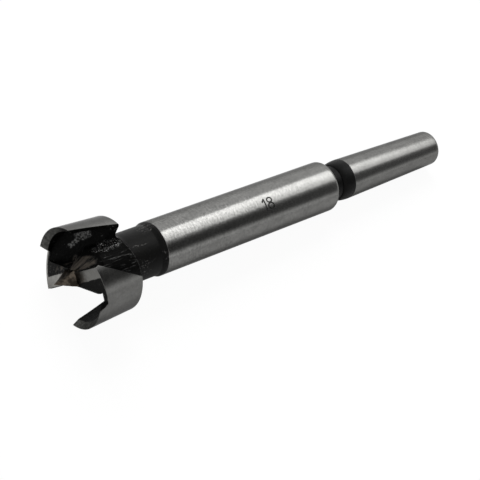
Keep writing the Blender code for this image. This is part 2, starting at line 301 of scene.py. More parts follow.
class BitBoard(Board):
    """A material's board that knows the bit's own frame."""

    def __init__(self, name):
        self.material = bpy.data.materials.new(name)
        self.material.use_nodes = True
        tree = self.material.node_tree
        super().__init__(tree)
        self.shader = tree.nodes["Principled BSDF"]
        turn = REST.to_3x3()
        coordinates = self.node("ShaderNodeTexCoord", None, None, "Object")
        offset = self.vector("SUBTRACT", coordinates, tuple(REST_ORIGIN))
        self.t, self.right, self.up = (
            self.dot(offset, tuple(turn @ Vector(way))) / MM for way in ((1, 0, 0), (0, -1, 0), (0, 0, 1))
        )
        self.radius = (self.right * self.right + self.up * self.up).root()
        self.spot = self.join(self.t, self.right, self.up)

    def grain(self, along=1.0, across=1.0, **settings):
        """Noise over the bit in millimetres, finer along or across the axis by a factor."""
        return self.noise(self.join(self.t * along, self.right * across, self.up * across), **settings)

    def towards(self, clock):
        """Distance from the axis towards a clock angle, in millimetres."""
        way = polar(1.0, clock)
        return self.right * way.x + self.up * way.y

    def feed(self, **values):
        """Links or sets the shader's sockets, with underscores for the spaces in their names."""
        for name, value in values.items():
            self.plug(self.shader.inputs[name.replace("_", " ").title().replace("Ior", "IOR")], value)

    def bump(self, height, distance):
        values = {"Strength": 1.0, "Distance": distance, "Height": height}
        return self.node("ShaderNodeBump", None, values)


def tinted(board, colour, shade):
    """A colour made lighter or darker over the surface by a factor."""
    return board.colours(1.0, colour, board.join(shade, shade, shade), blend="MULTIPLY")


def black_patch(board, finish):
    """Colour, roughness and height of the black finish, and how much steel shows through it."""
    cloudy = board.grain(scale=0.7, detail=3.0)
    streaks = board.grain(along=0.3, across=2.0, scale=1.3, roughness=0.65)
    pits = board.grain(scale=3.4, detail=3.0, roughness=0.7)
    patches = board.grain(along=0.7, scale=0.42, detail=2.0)
    before_waist = 1 - board.t.step(50.0, 55.0)
    scuffs = (streaks * 0.45 + pits * 0.55).step(0.53, 0.62) * patches.step(0.50, 0.62) * before_waist
    unworn = tinted(board, finish.black_colour, 0.5 + cloudy)
    colour = board.colours(scuffs * 0.7, unworn, finish.scuff_colour)
    roughness = finish.black_roughness - 0.12 + pits * 0.24
    return colour, roughness, pits * 0.5 + streaks * 0.7, scuffs * 0.8


def rubbed_oval(board, middle, halves, shine):
    """How much steel shows in an oval place with a ragged rim."""
    offset = board.vector("DIVIDE", board.vector("SUBTRACT", board.spot, middle), halves)
    ragged = board.dot(offset, offset).root() + (board.grain(scale=1.3, roughness=0.7) - 0.5) * 1.4
    return (1 - ragged.step(0.75, 1.05)) * shine


def bright_streak(board, start, end, width, shine):
    """How much bright steel shows in a straight streak with ragged sides; for the throat wall's ridge, how
    bright its painted highlight is.
    """
    way = Vector(end) - Vector(start)
    soft_end = 0.4
    offset = board.vector("SUBTRACT", board.spot, start)
    along = board.dot(offset, tuple(way.normalized()))
    aside = (board.dot(offset, offset) - along * along).most(0.0).root()
    ragged = aside + (board.grain(scale=1.8, detail=3.0, roughness=0.7) - 0.5) * width * 1.6
    within = along.step(0.0, soft_end) * (1 - along.step(way.length - soft_end, way.length))
    return within * (1 - ragged.step(width * 0.5, width)) * shine


def milled_patch(board, finish):
    """The black finish inside the head, rubbed bright in places by chips, with painted highlights along a
    ridge of the throat wall and along the run-out edge.
    """
    cloudy = board.grain(scale=0.9, roughness=0.7)
    grooves = board.grain(along=0.16, across=2.4, scale=1.3, roughness=0.6)
    pits = board.grain(scale=2.6, roughness=0.7)
    grains = board.grain(along=0.8, across=1.3, scale=3.6, detail=3.0, roughness=0.75)
    dots = board.grain(along=1.1, across=1.7, scale=5.0, detail=2.0, roughness=0.6)

    flaked = rubbed_oval(board, *WIDE_FLAKES).most(bright_streak(board, *LONG_FLAKE))
    flakes = flaked * pits.step(0.38, 0.60)
    specks = rubbed_oval(board, *CORE_SPECKS) * dots.step(0.56, 0.64)
    core_side = rubbed_oval(board, *CORE_SIDE) * grooves.step(0.56, 0.64)
    stray = pits.step(0.62, 0.70) * cloudy.step(0.50, 0.62) * STRAY_SHINE
    # Painted highlight along the ridge of the upper throat wall
    ridge_highlight = bright_streak(board, *PAINTED_RIDGE_HIGHLIGHT)

    down, round_point, away = (board.dot(board.spot, way) for way in SCRAPE_WAYS)
    stretched = board.join(down * 0.3, round_point * 2.6, away * 0.8)
    scrapes = board.noise(stretched, detail=3.0, roughness=0.6).step(0.42, 0.58)
    scraped = bright_streak(board, *SCRAPE_BESIDE_POINT).most(rubbed_oval(board, *SCRAPES_BEHIND_POINT))
    by_point = scraped * scrapes

    # Painted highlight: a thin bright line along the run-out edge, where the throat ends on the neck
    ahead = board.towards(LIP_DIRECTION - 90.0) * board.right.sign()
    from_runout = abs(board.t + ahead * RUNOUT_TILT - RUNOUT_MIDDLE / MM)
    runout_highlight = (1 - from_runout.step(0.06, 0.16)) * grains.step(0.36, 0.6) * RUNOUT_PAINTED_HIGHLIGHT

    # Rubbed places and the painted highlights along the ridge and the run-out edge together set where bright
    # steel colour shows
    rubbed = flakes
    for patch in (specks, by_point, core_side, stray, runout_highlight, ridge_highlight):
        rubbed = rubbed.most(patch)
    bare_steel_and_highlights = board.colours(by_point.step(0.0, 0.1), finish.rubbed_and_highlight_colour, finish.stain_colour)
    colour = board.colours(rubbed, tinted(board, finish.black_colour, cloudy * 1.2), bare_steel_and_highlights)
    roughness = finish.black_roughness - 0.2 + pits * 0.3
    return colour, roughness, pits * 0.6 + grooves * 0.9, rubbed


def heel_patch(board, finish):
    """The black finish on the heels, scraped beside the point and beside the rim."""
    colour, roughness, height, scuffs = black_patch(board, finish)
    by_point = bright_streak(board, *HEEL_SCRAPE_BY_POINT)
    scrapes = by_point.most(bright_streak(board, *HEEL_SCRAPE_BY_RIM))
    return board.colours(scrapes, colour, finish.stain_colour), roughness, height, scuffs.most(scrapes)


def ground_patch(board, finish):
    """Colour, roughness and height of ground steel: fine rings and soft clouds, darker on the head, and
    darker on the shank as painted shade.
    """
    rings = board.grain(along=3.4, across=0.4, roughness=0.65)
    fine = board.grain(along=3.0, across=2.2, roughness=0.75)
    clouds = board.grain(along=0.3, across=0.6, detail=3.0)
    grain = rings * 0.25 + fine * 0.75
    shank = board.t.step(62.0, 66.0)
    head = 1 - board.t.step(9.5, 11.0)
    contrast = 2.2 - board.t.step(25.0, 62.0) * 1.1 - head * 1.2
    # The shank is painted darker: painted shade for the soft box's light falling off away from the head. The
    # head is made darker too.
    shade = (1 + (grain - 0.5) * contrast + (clouds - 0.5) * 0.5) * (1 - shank * 0.08 - head * 0.16)
    return tinted(board, finish.steel_colour, shade), finish.steel_roughness - 0.06 + grain * 0.12, grain


def finish_material(
    name, finish, black_mask_of, ground_of=ground_patch, black_of=black_patch, bump=0.02, gloss=0.11,
):
    """Ground steel, and the black finish where a mask is 1."""
    board = BitBoard(name)
    steel, steel_roughness, steel_height = ground_of(board, finish)
    # The last value is the share of bare steel; in the throats it also holds painted highlights
    black, black_roughness, black_height, bare_steel_and_highlights = black_of(board, finish)
    mask = black_mask_of(board)
    keep = 1 - mask
    height = steel_height * keep * 0.35 + black_height * mask
    board.feed(
        base_color=board.colours(mask, steel, black),
        roughness=steel_roughness * keep + black_roughness * mask,
        metallic=keep + mask * bare_steel_and_highlights,
        normal=board.bump(height, bump * MM),
        specular_ior_level=gloss,
        specular_tint=(*finish.edge_tint, 1.0),
    )
    return board.material


def uneven(board, amount, scale=0.5):
    """A small wander for a patch's edge, in millimetres."""
    return (board.grain(along=0.2, scale=scale, detail=2.0) - 0.5) * amount


def shaft_black(board):
    """Black on the neck and in the waist."""
    t = board.t + uneven(board, 0.25)
    past_neck, past_start, past_end = (
        t.step(end / MM - 0.05, end / MM + 0.05)
        for end in (NECK_FINISH_END, WAIST_FINISH_START, WAIST_FINISH_END)
    )
    return 1 - past_neck + past_start * (1 - past_end)


def turned_head_black(board):
    """Black behind the head's ground edge and on the neck."""
    outer = (HEAD_RADIUS - HEAD_TAPER - HEAD_EDGE_ROUND) / MM
    return 1 - (board.radius + uneven(board, 0.15)).step(outer - 0.12, outer + 0.05)


def never_black(board):
    return 0.0


def always_black(board):
    return 1.0


def heel_black(board):
    """Black behind the ground strip that follows each lip's edge."""
    along = board.towards(LIP_DIRECTION)
    ahead = board.towards(LIP_DIRECTION - 90.0) * along.sign()
    behind_edge = LIP_AHEAD / MM - ahead + uneven(board, 0.3, 1.2)
    width = LIP_LAND_WIDTH / MM
    near_half = along.step(-1.0, 1.0)
    outer_edge = (board.radius - near_half * 0.3 + uneven(board, 0.4, 1.6)).step(8.4, 8.55)
    return behind_edge.step(width - 0.1, width + 0.1) * (1 - outer_edge * (1 - near_half * 0.5))


def land_patch(board, finish):
    """Fresh steel of the lips, with marks from the grinding wheel, stained towards the point."""
    along = board.towards(LIP_DIRECTION)
    across_lip = board.join(along * 9.0, board.t * 0.8, board.up * 0.6)
    lines = board.noise(across_lip, scale=1.2, detail=3.0, roughness=0.65)
    clouds = board.grain(scale=0.9, detail=2.0)
    near_half = (along * 4.0).step(-1.0, 1.0)
    shade = (0.45 + lines * 0.8 + clouds * 0.5) * (1 - near_half * 0.4)
    stain = (1 - (board.radius + (clouds - 0.5) * 3.0).step(3.0, 4.6)) * 0.8
    fresh = tinted(board, finish.land_colour, shade)
    colour = board.colours(stain, fresh, tinted(board, finish.point_colour, shade * 1.6))
    return colour, finish.steel_roughness + 0.02 + lines * 0.16, lines


def bevel_patch(board, finish):
    """Steel of the rims' bevels, a little dull and cloudy."""
    marks = board.grain(along=1.2, across=1.2, scale=1.6, detail=5.0, roughness=0.7)
    colour = tinted(board, finish.bevel_colour, 0.5 + marks.step(0.36, 0.68) * 0.75)
    return colour, finish.steel_roughness + 0.05 + marks * 0.15, marks


def point_patch(board, finish):
    """Steel of the point, stained brown by the heat of grinding."""
    marks = board.grain(scale=0.8, roughness=0.65)
    colour = tinted(board, finish.point_colour, 0.35 + marks.step(0.42, 0.66) * 1.4)
    return colour, finish.steel_roughness + 0.05 + marks * 0.1, marks * 6.0


def number_patch(board, finish):
    """Dull dark steel at the bottom of the cut digits."""
    marks = board.grain(scale=3.0, detail=3.0, roughness=0.6)
    return tinted(board, finish.number_colour, 0.6 + marks * 0.8), 0.35 + marks * 0.2, marks


def new_mesh_object(name, edit, material=None):
    """An object from an edited mesh whose faces are turned outwards."""
    bmesh.ops.recalc_face_normals(edit, faces=edit.faces[:])
    mesh = bpy.data.meshes.new(name)
    edit.to_mesh(mesh)
    edit.free()
    if material:
        mesh.materials.append(material)
    thing = bpy.data.objects.new(name, mesh)
    bpy.context.scene.collection.objects.link(thing)
    return thing


def settled_mesh(thing):
    """Turn an object's modifiers into its plain mesh."""
    bpy.context.view_layer.update()
    depsgraph = bpy.context.evaluated_depsgraph_get()
    mesh = bpy.data.meshes.new_from_object(thing.evaluated_get(depsgraph))
    thing.modifiers.clear()
    thing.data = mesh
    mesh.name = thing.name


def lay_down(thing, smooth_angle):
    """Put a piece made in the bit's frame where the bit lies, and hand it to the frame."""
    thing.data.transform(REST)
    thing.data.shade_smooth()
    thing.data.set_sharp_from_angle(angle=math.radians(smooth_angle))
    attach(thing, "root")


def combine(target, tool, operation):
    boolean = target.modifiers.new(tool.name, "BOOLEAN")
    boolean.object = tool
    boolean.operation = operation
    boolean.solver = "EXACT"
    boolean.material_mode = "TRANSFER"


def arc_points(centre, radii, start, end, steps):
    """Points along part of an ellipse, with angles in degrees."""
    points = []
    for step in range(steps + 1):
        angle = math.radians(blend(start, end, step / steps))
        points.append((centre[0] + radii[0] * math.cos(angle), centre[1] + radii[1] * math.sin(angle)))
    return points


def revolve(profile, segments):
    """A closed solid turned about the axis from a half section that starts and ends on it."""
    edit = bmesh.new()
    verts = [edit.verts.new((t, 0.0, radius)) for t, radius in profile]
    edges = [edit.edges.new(pair) for pair in zip(verts, verts[1:])]
    bmesh.ops.spin(
        edit, geom=verts + edges, cent=(0, 0, 0), axis=(1, 0, 0),
        angle=2 * math.pi, steps=segments, use_merge=True,
    )
    bmesh.ops.remove_doubles(edit, verts=edit.verts[:], dist=WELD_DISTANCE)
    return edit


def loft(sections):
    """A closed solid through sections, each a list of points in the bit's frame."""
    edit = bmesh.new()
    rings = [[edit.verts.new(point) for point in section] for section in sections]
    for ring, following in zip(rings, rings[1:]):
        for index in range(len(ring)):
            after = (index + 1) % len(ring)
            edit.faces.new((ring[index], ring[after], following[after], following[index]))
    edit.faces.new(rings[0])
    edit.faces.new(rings[-1])
    bmesh.ops.triangulate(edit, faces=edit.faces[:])
    return edit


def lip_point(ahead, along):
    """A section point from its distances square to the lip's edge and along it."""
    return polar(ahead, LIP_DIRECTION - 90.0) + polar(along, LIP_DIRECTION)


def lip_ahead_of(point):
    return Vector(point).dot(polar(1.0, LIP_DIRECTION - 90.0))


def head_profile():
    """Half section of the head and the front of its neck."""
    back_radius = HEAD_RADIUS - HEAD_TAPER
    face_foot = HEAD_LENGTH - HEAD_BACK_UNDERCUT
    profile = [(0.0, 0.0), (0.0, HEAD_RADIUS)]
    edge_centre = (HEAD_LENGTH - HEAD_EDGE_ROUND, back_radius - HEAD_EDGE_ROUND)
    profile += arc_points(edge_centre, (HEAD_EDGE_ROUND, HEAD_EDGE_ROUND), 90, 0, 4)
    fillet_centre = (NECK_FILLET_END, NECK_RADIUS + NECK_FILLET)
    profile += arc_points(fillet_centre, (NECK_FILLET_END - face_foot, NECK_FILLET), 180, 270, 12)
    profile += [(HEAD_JOINT, NECK_RADIUS), (HEAD_JOINT, 0.0)]
    return profile


def relief_depth(point):
    return LIP_SETBACK + LIP_RELIEF_SLOPE * (LIP_AHEAD - lip_ahead_of(point))


def relief_cutter():
    """Takes the front off one lip and its heel, up to the leading spur of the rim."""
    web = NECK_RADIUS * 0.8
    behind, past_spur = LIP_DIRECTION - 30, LIP_DIRECTION + 10
    flat = [
        Vector((0.0, -web)), Vector((0.0, web)),
        polar(HEAD_RADIUS, behind - 5), polar(OUTSIDE, behind), polar(OUTSIDE, past_spur),
    ]

    def outline(t_of):
        points = list(flat)
        for radius in (OUTSIDE, POCKET_RADIUS * 0.8):
            depth = t_of(polar(radius, SPUR_ANGLE))
            points.append(polar(radius, SPUR_ANGLE - SPUR_LEAN_PER_MM * depth / MM))
        return [place(t_of(point), point) for point in points]

    return loft([outline(lambda _: FRONT_LIMIT), outline(relief_depth)])


def rim_bevel_cutter(steps=48):
    """Bevels the inside of one rim to a sharp crest that falls back from the spur."""
    inner = POCKET_RADIUS - RIM_WALL / 2
    outer = HEAD_RADIUS + RIM_WALL / 2
    start = SPUR_ANGLE - 4 * SPUR_LEAN_PER_MM
    overrun = RIM_WALL / HEAD_RADIUS * 60
    end = 180.0 + RIM_END_ANGLE + overrun
    sections = []
    for step in range(steps + 1):
        clock = blend(start, end, step / steps)
        fall = RIM_FALL * (clock - SPUR_ANGLE) / (end - SPUR_ANGLE)
        corners = [(FRONT_LIMIT, inner)]
        corners += [((HEAD_RADIUS - radius) * RIM_BEVEL_SLOPE + fall, radius) for radius in (inner, outer)]
        corners.append((FRONT_LIMIT, outer))
        sections.append([place(t, polar(radius, clock)) for t, radius in corners])
    return loft(sections)


def rake_outer_angle(t):
    """Clock angle of the rake face at the head's surface."""
    edge_angle = LIP_DIRECTION - math.degrees(math.asin(LIP_AHEAD / HEAD_RADIUS))
    if t < LIP_HONE_DEPTH:
        return edge_angle + LIP_HONE_TURN * (LIP_HONE_DEPTH - max(t, 0.0)) / LIP_HONE_DEPTH
    return edge_angle + RAKE_TURN_PER_MM * (t - LIP_HONE_DEPTH) / MM


def heel_back_point(across):
    """A point on the straight back of the heel, which starts at the inner end of the other lip."""
    start = lip_point(LIP_AHEAD, LIP_INNER_END)
    return Vector((across, start.y + HEEL_BACK_SLOPE * (start.x - across)))


def throat_section(t):
    """Outline of the open throat at one distance along the axis."""
    depth = max(t, 0.0) / MM
    rake_edge = polar(HEAD_RADIUS, rake_outer_angle(t))
    web_corner = lip_point(lip_ahead_of(rake_edge), LIP_INNER_END)
    rake_out = rake_edge + (rake_edge - web_corner).normalized() * (OUTSIDE - HEAD_RADIUS)
    share = min(max((t - LIP_HONE_DEPTH) / (HEAD_LENGTH - 2 * LIP_HONE_DEPTH), 0.0), 1.0)
    side_foot = blend(heel_back_point(0.0), THROAT_SIDE_ON_NECK, share)
    rim_inner = polar(POCKET_RADIUS, RIM_INNER_END_ANGLE + RIM_INNER_TURN_PER_MM * depth)
    rim_outer = polar(HEAD_RADIUS, RIM_END_ANGLE + RIM_END_TURN_PER_MM * depth)
    rim_out = rim_outer + (rim_outer - rim_inner).normalized() * (OUTSIDE - HEAD_RADIUS)
    far_out = polar(OUTSIDE * 1.4, LIP_DIRECTION - 30)
    outline = [rake_out, rake_edge, web_corner, side_foot, rim_inner, rim_outer, rim_out, far_out]
    return [place(t, point) for point in outline]


def throat_cutter(steps=16):
    """Mills one throat: a hooked rake face on one side and the end of the rim on the other."""
    depths = [blend(LIP_HONE_DEPTH, RUNOUT_LIMIT, step / steps) for step in range(steps + 1)]
    edit = loft([throat_section(t) for t in (FRONT_LIMIT, 0.0, *depths)])
    bmesh.ops.recalc_face_normals(edit, faces=edit.faces[:])
    bmesh.ops.bisect_plane(
        edit, geom=edit.verts[:] + edit.edges[:] + edit.faces[:], clear_outer=True,
        plane_co=(RUNOUT_MIDDLE, 0.0, 0.0), plane_no=place(1.0, polar(RUNOUT_TILT, LIP_DIRECTION - 90.0)),
    )
    bmesh.ops.holes_fill(edit, edges=[edge for edge in edit.edges if edge.is_boundary])
    return edit


def pocket_cutter(steps=48):
    """Hollows out the inside of one rim, with a floor that falls towards the open throat."""
    outline = [heel_back_point(0.0), POCKET_CORNER]
    for step in range(steps + 1):
        outline.append(polar(POCKET_RADIUS, blend(POCKET_END_ANGLE, POCKET_HEEL_ANGLE, step / steps)))
    outline.append(heel_back_point(outline[-1].x + RIM_WALL / 2))
    floor = [place(RAMP_DEPTH + RAMP_SLOPE * (point.x + RAMP_START), point) for point in outline]
    return loft([[place(FRONT_LIMIT, point) for point in outline], floor])


def core_solid():
    """The middle of the head, which the throats and pockets leave standing."""
    cone_end = POINT_BASE_DEPTH + (CORE_RADIUS - CORE_FRONT_RADIUS) / CORE_SLOPE
    ramp_end = RUNOUT_MIDDLE + RUNOUT_STEP
    root = RUNOUT_LIMIT + RIM_WALL
    profile = [
        (POINT_BASE_DEPTH, 0.0), (POINT_BASE_DEPTH, CORE_FRONT_RADIUS), (cone_end, CORE_RADIUS),
        (ramp_end - RUNOUT_RAMP_LENGTH, CORE_RADIUS), (ramp_end, NECK_RADIUS - RUNOUT_STEP),
        (root, NECK_RADIUS - RUNOUT_STEP), (root, 0.0),
    ]
    edit = revolve(profile, 128)
    for vert in edit.verts:
        if abs(vert.co.x - ramp_end) < RUNOUT_STEP / 2:
            ahead = lip_ahead_of((-vert.co.y, vert.co.z))
            vert.co.x -= RUNOUT_TILT * math.copysign(1.0, -vert.co.y) * ahead
    return edit


def point_solid():
    """Four-sided point in the middle of the web, unevenly ground, on a square root."""
    levels = [
        (-POINT_HEIGHT, 0.03 * MM), (POINT_BASE_DEPTH, POINT_CORNER_RADIUS),
        (POINT_ROOT_DEPTH, POINT_CORNER_RADIUS * 0.8),
    ]
    edit = loft(
        [[place(t, polar(radius, POINT_TURN + 90 * corner)) for corner in range(4)] for t, radius in levels]
    )
    bmesh.ops.subdivide_edges(edit, edges=edit.edges[:], cuts=11, use_grid_fill=True)
    for vert in edit.verts:
        radius = math.hypot(vert.co.y, vert.co.z)
        if radius > 0:
            dent = POINT_DENT * (0.5 + 0.5 * noise.noise(vert.co / POINT_DENT_PITCH))
            inward = 1 - dent * min(1.0, radius / MM) / radius
            vert.co.y *= inward
            vert.co.z *= inward
    return edit


def colour_setting(name, part, colour):
    return FloatVectorProperty(
        name=name, description=f"Colour of the {part}", subtype="COLOR", min=0.0, max=1.0, default=colour,
    )


def roughness_setting(name, part, share):
    return FloatProperty(name=name, description=f"Roughness of the {part}", min=0.0, max=1.0, default=share)


def length_setting(name, description, length):
    return FloatProperty(name=name, description=description, unit="LENGTH", default=length, precision=5)


class SteelFinish(bpy.types.PropertyGroup):
    """Colours and roughness of the bit's finishes."""

    steel_colour: colour_setting("Ground steel", "ground steel", (0.190, 0.189, 0.183))
    steel_roughness: roughness_setting("Ground roughness", "ground steel", 0.2)
    land_colour: colour_setting("Lips", "freshly ground lips", (0.30, 0.295, 0.28))
    bevel_colour: colour_setting("Rim bevels", "rims' bevels", (0.085, 0.085, 0.08))
    point_colour: colour_setting("Point", "centre point", (0.052, 0.043, 0.034))
    black_colour: colour_setting("Black finish", "black finish", (0.0036, 0.0036, 0.0034))
    black_roughness: roughness_setting("Black roughness", "black finish", 0.42)
    # This colour also paints the highlights along the throat wall's ridge and the run-out edge
    rubbed_and_highlight_colour: colour_setting("Rubbed steel", "places that chips rubbed bright", (0.60, 0.60, 0.59))
    stain_colour: colour_setting("Stained steel", "rubbed steel near the point", (0.26, 0.225, 0.19))
    scuff_colour: colour_setting("Scuffs", "scuffs in the black finish", (0.16, 0.155, 0.15))
    number_colour: colour_setting("Number", "steel in the size number", (0.03, 0.03, 0.029))
    edge_tint: colour_setting("Edge tint", "steel seen at a shallow angle", (0.55, 0.55, 0.55))


class ShaftSizes(bpy.types.PropertyGroup):
    """Sizes of the turned shaft behind the head."""

    body_radius: length_setting("Body radius", "Radius of the ground body", 5.0 * MM)
    body_start: length_setting("Body start", "Start of the body on the axis", 17.0 * MM)
    body_end: length_setting("Body end", "End of the body on the axis", 59.9 * MM)
    body_round: length_setting("Body end round", "Rounding of the body's back edge", 0.9 * MM)
    waist_radius: length_setting("Waist radius", "Radius of the waist", 3.45 * MM)
    shank_start: length_setting("Shank start", "Start of the shank on the axis", 65.0 * MM)
    shank_front_radius: length_setting("Shank front radius", "Radius of the shank's front", 4.075 * MM)
    shank_back_radius: length_setting("Shank back radius", "Radius of the shank's end", 3.6 * MM)
    shank_end: length_setting("Shank end", "End of the shank on the axis", 91.1 * MM)
    shank_round: length_setting("Shank end round", "Rounding of the shank's end", 0.8 * MM)
    segments: IntProperty(name="Segments", description="Sides of the turned shaft", default=160, min=24)


class NumberSizes(bpy.types.PropertyGroup):
    """The size number, 18, cut into the body."""

    height: length_setting("Digit height", "Height of the digits", 2.4 * MM)
    stroke: length_setting("Stroke", "Width of the digits' strokes", 0.3 * MM)
    depth: length_setting("Depth", "Depth of the cut digits", 0.05 * MM)
    along: length_setting("Place on the axis", "Middle of the number on the axis", 41.45 * MM)
    clock: FloatProperty(name="Clock angle", description="Middle of the number round the axis", default=73.5)


class StudioSettings(bpy.types.PropertyGroup):
    """Floor and light."""

    floor_size: length_setting("Floor size", "Side of the floor", 2.4)
    lamp_radiance: FloatProperty(name="Lamp brightness", description="Brightness of the lamp", default=7.5)
    fill: FloatProperty(name="Fill", description="Strength of the even light all round", default=0.4)


SHAFT_INPUTS = {name: "Float" for name in ("neck_radius", "shaft_start", *ShaftSizes.__annotations__)}
SHAFT_INPUTS.update(segments="Int", material="Material")


def add_inputs(tree, kinds):
    """Give a node group its named inputs and return them as wires of its board."""
    for name, kind in kinds.items():
        tree.interface.new_socket(name, in_out="INPUT", socket_type=f"NodeSocket{kind}")
    board = Board(tree)
    entry = tree.nodes.new("NodeGroupInput")
    return board, {name: Wire(board, entry.outputs[name]) for name in kinds}


def add_output(board, name, result):
    board.tree.interface.new_socket(name, in_out="OUTPUT", socket_type="NodeSocketGeometry")
    board.plug(board.tree.nodes.new("NodeGroupOutput").inputs[name], result)


def turned_length_group():
    """Node group for one turned length: straight, rounded outwards, or filleted inwards.

    A round starts along the axis, and a fillet ends along it.
    """
    group = bpy.data.node_groups.new("turned_length", "GeometryNodeTree")
    kinds = {name: "Float" for name in ("Start", "End", "Start Radius", "End Radius", "Bulge")}
    board, given = add_inputs(group, {**kinds, "Steps": "Int", "Segments": "Int"})
    grid = board.node(
        "GeometryNodeMeshGrid", None,
        {"Size X": 1.0, "Size Y": 1.0, "Vertices X": given["Steps"] + 1, "Vertices Y": given["Segments"] + 1},
    )
    position = board.node("GeometryNodeInputPosition")
    share, turn = (
        board.node("ShaderNodeSeparateXYZ", None, {0: position}, axis) + 0.5 for axis in ("X", "Y")
    )
    quarter = share * (math.pi / 2)
    rising = quarter.sine()
    falling = 1 - quarter.cosine()
    outward = given["Bulge"].most(0.0)
    inward = (given["Bulge"] * -1).most(0.0)
    straight = 1 - outward - inward
    along = share * straight + rising * outward + falling * inward
    across = share * straight + falling * outward + rising * inward
    t = given["Start"] + (given["End"] - given["Start"]) * along
    radius = given["Start Radius"] + (given["End Radius"] - given["Start Radius"]) * across
    angle = turn * (2 * math.pi)
    laid = board.join(t, radius * angle.sine(), radius * angle.cosine())
    moved = board.node("GeometryNodeSetPosition", None, {"Geometry": grid, "Position": laid})
    add_output(board, "Mesh", moved)
    return group


def turned_shaft_tree():
    """Node tree that turns the whole shaft from its named sizes."""
    length = turned_length_group()
    tree = bpy.data.node_groups.new("turned_shaft", "GeometryNodeTree")
    board, size = add_inputs(tree, SHAFT_INPUTS)
    (neck, shaft_start, body, body_start, body_end, body_round, waist, shank_start, shank_front,
     shank_back, shank_end, shank_round, segments, material) = size.values()
    shoulder = body_start - BODY_SHOULDER
    round_start = body_end - body_round
    body_rim = body - body_round
    fillet_foot = waist + WAIST_FILLET
    fillet_end = body_end + WAIST_FILLET
    flare_start = shank_start - SHANK_FLARE
    flare_end = shank_start - SHANK_LEAD
    end_round_start = shank_end - shank_round
    shank_rim = shank_back - shank_round
    lengths = (
        (shaft_start, shaft_start, 0.0, neck, STRAIGHT, 1),
        (shaft_start, shoulder, neck, neck, STRAIGHT, 4),
        (shoulder, body_start, neck, body, STRAIGHT, 4),
        (body_start, round_start, body, body, STRAIGHT, 60),
        (round_start, body_end, body, body_rim, ROUND, 10),
        (body_end, body_end, body_rim, fillet_foot, STRAIGHT, 1),
        (body_end, fillet_end, fillet_foot, waist, FILLET, 6),
        (fillet_end, flare_start, waist, waist, STRAIGHT, 4),
        (flare_start, flare_end, waist, shank_front, FILLET, 10),
        (flare_end, shank_start, shank_front, shank_front, STRAIGHT, 1),
        (shank_start, end_round_start, shank_front, shank_back, STRAIGHT, 40),
        (end_round_start, shank_end, shank_back, shank_rim, ROUND, 10),
        (shank_end, shank_end, shank_rim, 0.0, STRAIGHT, 4),
    )
    joined = tree.nodes.new("GeometryNodeJoinGeometry")
    for start, end, start_radius, end_radius, bulge, steps in lengths:
        turned = board.node("GeometryNodeGroup", {"node_tree": length}, {
            "Start": start, "End": end, "Start Radius": start_radius, "End Radius": end_radius,
            "Bulge": bulge, "Steps": steps, "Segments": segments,
        })
        tree.links.new(turned.socket, joined.inputs[0])
    merged = board.node(
        "GeometryNodeMergeByDistance", None,
        {"Geometry": Wire(board, joined.outputs[0]), "Distance": MERGE_DISTANCE},
    )
    coated = board.node("GeometryNodeSetMaterial", None, {"Geometry": merged, "Material": material})
    add_output(board, "Geometry", coated)
    return tree


class FORSTNER_OT_head(bpy.types.Operator):
    """Mill the head with its throats, pockets, lips, bevelled rims and point"""

    bl_idname = "forstner.head"
    bl_label = "Head"

    def execute(self, context):
        finish = context.scene.forstner_finish
        turned = finish_material("turned_head", finish, turned_head_black)
        milled = finish_material(
            "milled_black", finish, always_black, black_of=milled_patch, bump=0.12, gloss=0.05,
        )
        lands = finish_material("ground_lips", finish, heel_black, land_patch, heel_patch, gloss=0.028)
        bevels = finish_material("rim_bevels", finish, never_black, bevel_patch)
        stained = finish_material("stained_point", finish, never_black, point_patch)

        head = new_mesh_object("milled_head", revolve(head_profile(), 192), turned)
        half_turn = Matrix.Rotation(math.pi, 4, "X")
        tools = []
        for cutter, material in (
            (relief_cutter, lands), (rim_bevel_cutter, bevels),
            (throat_cutter, milled), (pocket_cutter, milled),
        ):
            for turn in (Matrix.Identity(4), half_turn):
                tool = new_mesh_object(cutter.__name__, cutter(), material)
                tool.data.transform(turn)
                combine(head, tool, "DIFFERENCE")
                tools.append(tool)
        for solid, material in ((core_solid, milled), (point_solid, stained)):
            tool = new_mesh_object(solid.__name__, solid(), material)
            combine(head, tool, "UNION")
            tools.append(tool)
        settled_mesh(head)
        for tool in tools:
            bpy.data.objects.remove(tool, do_unlink=True)
        lay_down(head, 28)
        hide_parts("forstner_bit")
        return {"FINISHED"}


class FORSTNER_OT_shaft(bpy.types.Operator):
    """Turn the neck, body, waist and shank, and cut the size number into the body"""

    bl_idname = "forstner.shaft"
    bl_label = "Shaft"

    def execute(self, context):
        finish = context.scene.forstner_finish
        sizes = context.scene.forstner_shaft
        ground = finish_material("turned_shaft", finish, shaft_black)
        shaft = new_mesh_object("turned_shaft", bmesh.new())
        modifier = shaft.modifiers.new("turning", "NODES")
        modifier.node_group = turned_shaft_tree()
        own = {"neck_radius": NECK_RADIUS, "shaft_start": HEAD_JOINT, "material": ground}
        for item in modifier.node_group.interface.items_tree:
            if item.in_out == "INPUT":
                name = item.name
                modifier[item.identifier] = own[name] if name in own else getattr(sizes, name)
        settled_mesh(shaft)
        outward = bmesh.new()
        outward.from_mesh(shaft.data)
        bmesh.ops.recalc_face_normals(outward, faces=outward.faces[:])
        outward.to_mesh(shaft.data)
        outward.free()

        etched = finish_material("cut_number", finish, never_black, number_patch)
        digits = number_cutters(context.scene.forstner_number, sizes.body_radius)
        for digit in digits:
            digit.data.materials.append(etched)
            combine(shaft, digit, "DIFFERENCE")
        settled_mesh(shaft)
        for digit in digits:
            bpy.data.objects.remove(digit, do_unlink=True)
        lay_down(shaft, 25)
        return {"FINISHED"}


